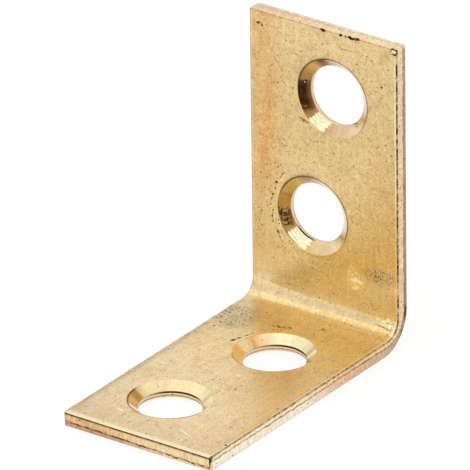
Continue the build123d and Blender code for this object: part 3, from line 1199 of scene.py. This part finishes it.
    def pits(self, g: NodeSheet, mm: Any, clouds: Any) -> tuple[Any, Any]:
        """Scattered dark pits of two sizes, thicker where the clouds are, and light flecks.

        Args:
            g: the node sheet.
            mm: the place on the object, in millimetres.
            clouds: the broad noise.

        Returns:
            How dark the pits are, and how bright the flecks.
        """
        dots = []
        kinds = ((1.9, 1.13, 0.15, 1.0), (3.6, 1.15, 0.22, 0.7), (2.6, 1.17, 0.17, 0.7))
        for scale, chance, size, depth in kinds:
            cell = g.add("TexVoronoi", {"Vector": mm, "Scale": scale})
            draw = g.add("SeparateXYZ", cell.node.outputs["Color"])
            draw = g.add("Math.MULTIPLY_ADD", clouds, 0.7, draw)
            there = g.add("Math.GREATER_THAN", draw, chance)
            dot = g.add("MapRange", cell, size, size * 0.55, 0.0, depth, interpolation_type="SMOOTHSTEP")
            dots.append(g.add("Math.MULTIPLY", dot, there))
        return g.add("Math.MAXIMUM", dots[0], dots[1]), dots[2]

    def mark_mask(self, g: NodeSheet, mm: Any, name: str) -> Any:
        """The outlines of the dirty marks, or of the pale ones, which are fresh scratches and painted
        glints, made ragged by a noise.

        Args:
            g: the node sheet.
            mm: the place on the object, in millimetres.
            name: the attribute that holds the places in the marks.

        Returns:
            How strong the marks are.
        """
        wobble = g.add("TexNoise", {"Vector": mm, "Scale": 6.0, "Detail": 2.0}, out="Color")
        wobble = g.add("VectorMath.SUBTRACT", wobble, (0.5, 0.5, 0.5))
        place = g.add("Attribute", out="Vector", attribute_name=name)
        level = g.add("Attribute", out="Fac", attribute_name=name + "_level")
        place = g.add("VectorMath.MULTIPLY_ADD", wobble, (1.6, 1.6, 0.0), place)
        away = g.add("VectorMath.LENGTH", place, out="Value")
        mask = g.add("MapRange", away, 1.3, 0.8, interpolation_type="SMOOTHSTEP")
        return g.add("Math.MULTIPLY", mask, level)


@dataclass(frozen=True)
class Studio:
    """Pale floor, soft light and the camera."""

    lens_pixels: float = 12000.0
    image_pixels: float = 470.0
    sensor: float = 36.0
    azimuth: float = 35.729
    elevation: float = 26.166
    roll: float = -0.741
    camera_place: tuple[float, float, float] = (0.47393, -0.67171, 0.41133)

    def build(self) -> None:
        """Sets up everything round the object."""
        self.floor()
        self.world()
        self.lamps()
        self.camera()

    def floor(self) -> None:
        """A pale level floor, just below the foot, that the camera sees nearly white."""
        size, drop = 3.0, 0.00003
        mesh = bpy.data.meshes.new("floor")
        corners = [(-size, -size, -drop), (size, -size, -drop), (size, size, -drop), (-size, size, -drop)]
        mesh.from_pydata(corners, [], [(0, 1, 2, 3)])
        floor = bpy.data.objects.new("floor", mesh)
        bpy.context.scene.collection.objects.link(floor)
        material = bpy.data.materials.new("pale_card")
        g = NodeSheet(material)
        rays = g.add("LightPath").node.outputs
        path = g.add("Math.MAXIMUM", rays["Is Camera Ray"], rays["Is Glossy Ray"])
        path = g.add("Math.MAXIMUM", path, rays["Is Transmission Ray"])
        card = g.add("BsdfDiffuse", {"Color": (0.9, 0.9, 0.9, 1)})
        faint = g.add("BsdfDiffuse", {"Color": (0.2, 0.2, 0.2, 1)})
        glow = g.add("Emission", {"Color": (1, 1, 1, 1), "Strength": 0.82})
        seen = g.add("AddShader", faint, glow)
        both = g.add("MixShader", path, card, seen)
        g.add("OutputMaterial", {"Surface": both})
        mesh.materials.append(material)

    def world(self) -> None:
        """Even pale light from all round."""
        world = bpy.data.worlds.new("tent")
        bpy.context.scene.world = world
        g = NodeSheet(world)
        light = g.add("Background", {"Color": (1, 1, 1, 1), "Strength": 0.98})
        g.add("OutputWorld", {"Surface": light})

    def lamps(self) -> None:
        """One broad lamp overhead."""
        data = bpy.data.lights.new("overhead", "AREA")
        data.shape, data.size, data.energy = "DISK", 1.5, 1.2
        lamp = bpy.data.objects.new("overhead", data)
        lamp.location = (-0.45, -0.30, 1.1)
        lamp.rotation_euler = (-lamp.location).to_track_quat("-Z", "Y").to_euler()
        bpy.context.scene.collection.objects.link(lamp)

    def camera(self) -> None:
        """Stands the camera where the photograph was taken from."""
        az, el, roll = (math.radians(a) for a in (self.azimuth, self.elevation, self.roll))
        ahead = Vector((-math.sin(az) * math.cos(el), math.cos(az) * math.cos(el), -math.sin(el)))
        level = Vector((math.cos(az), math.sin(az), 0))
        right = level * math.cos(roll) + level.cross(ahead) * math.sin(roll)
        up = right.cross(ahead)
        data = bpy.data.cameras.new("camera")
        data.sensor_width = self.sensor
        data.lens = self.lens_pixels / self.image_pixels * self.sensor
        data.clip_start, data.clip_end = 0.01, 20.0
        camera = bpy.data.objects.new("camera", data)
        turn = Matrix((right, up, -ahead)).transposed().to_4x4()
        camera.matrix_world = Matrix.Translation(self.camera_place) @ turn
        bpy.context.scene.collection.objects.link(camera)
        bpy.context.scene.camera = camera


def holes_from_record(thickness: float) -> tuple[ScrewHole, ...]:
    """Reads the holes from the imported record's bore mounts, in its order.

    Args:
        thickness: the strip's thickness, of which the seat takes what the bore leaves.

    Returns:
        The holes.
    """
    seat_radius = 3.225
    seat_looks = {
        "upright_top_screw_hole": UPRIGHT_TOP_LOOK,
        "upright_low_screw_hole": UPRIGHT_LOW_LOOK,
        "foot_near_screw_hole": FOOT_NEAR_LOOK,
        "foot_far_screw_hole": FOOT_FAR_LOOK,
    }
    found = []
    for mount in frame["record"]["mounts"]:
        if mount["kind"] != "bore":
            continue
        x, y, z = (v / MM for v in mount["pos_m"])
        along = z if abs(mount["axis"][1]) > 0.5 else y
        bore, land = mount["dims"]["r_mm"], mount["dims"]["length_mm"]
        seat_look, seed = seat_looks[mount["name"]], 100 + 10 * len(found)
        found.append(ScrewHole(x, along, bore, seat_radius, thickness - land, seat_look, seed))
    return tuple(found)


def main() -> None:
    """Builds the bracket and the studio."""
    logging.basicConfig(level=logging.INFO, format="%(message)s")
    bpy.context.scene.view_settings.view_transform = "Standard"
    low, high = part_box(NODE)
    strip = FoldedStrip(
        width=(high.x - low.x) / MM,
        height=high.z / MM,
        reach=-low.y / MM,
        holes=holes_from_record(FoldedStrip.thickness),
    )
    points, faces, named = strip.surface(scars_and_glints())
    piece = wrap_mesh("folded_brass_strip", points, faces, named)
    piece.data.materials.append(RolledBrass().build())
    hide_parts(NODE)
    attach(piece, BODY)
    log.info("folded_brass_strip: %d triangles", len(faces))
    Studio().build()


if __name__ == "__main__":
    main()
